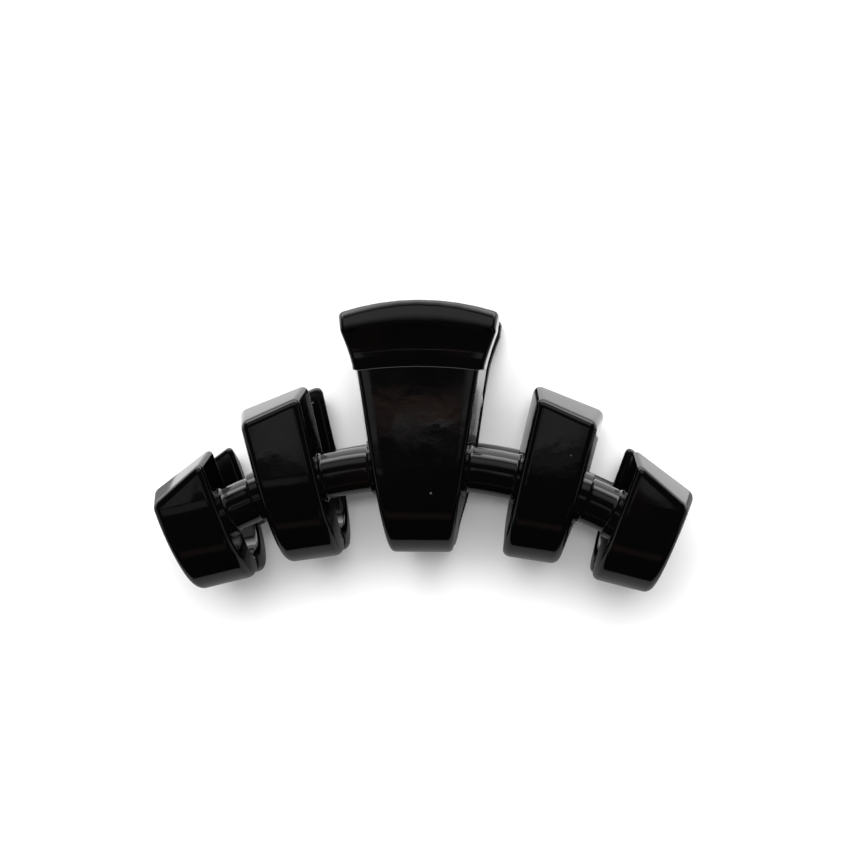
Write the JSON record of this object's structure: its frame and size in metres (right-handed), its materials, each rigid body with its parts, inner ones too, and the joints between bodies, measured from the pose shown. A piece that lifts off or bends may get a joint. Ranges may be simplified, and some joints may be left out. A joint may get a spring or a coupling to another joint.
{
  "type": "claw hair clip",
  "caption": "Wide black claw hair clip: two jaws of facetted curved fingers on an arched round bar, with flared thumb tabs, a hinge pin and a closing spring.",
  "frame": {"origin": "on the surface the clip lies on, under the centre of its bounding box", "axes": "the clip lies on its rear jaw: +X along the clip, +Y from the finger tips to the thumb tabs, +Z from the rear jaw up to the front jaw"},
  "size_m": [0.0954, 0.0514, 0.036],
  "materials": {
    "black_plastic": "high gloss black, moulded",
    "pin_steel": "bright drawn steel",
    "spring_steel": "plain spring wire"
  },
  "bodies": {
    "rear_jaw": {"rear_jaw": "black_plastic", "hinge_pin": "pin_steel", "torsion_spring": "spring_steel"},
    "front_jaw": {"front_jaw": "black_plastic"}
  },
  "joints": [
    {"name": "jaw_hinge", "type": "hinge", "parent": "rear_jaw", "child": "front_jaw", "pos_m": [0, 0.00867, 0.018], "axis": [-1, 0, 0], "range_deg": [0, 78], "stiffness_Nm_per_rad": 0.15, "springref_deg": -25.21, "deforming": ["torsion_spring"]}
  ]
}
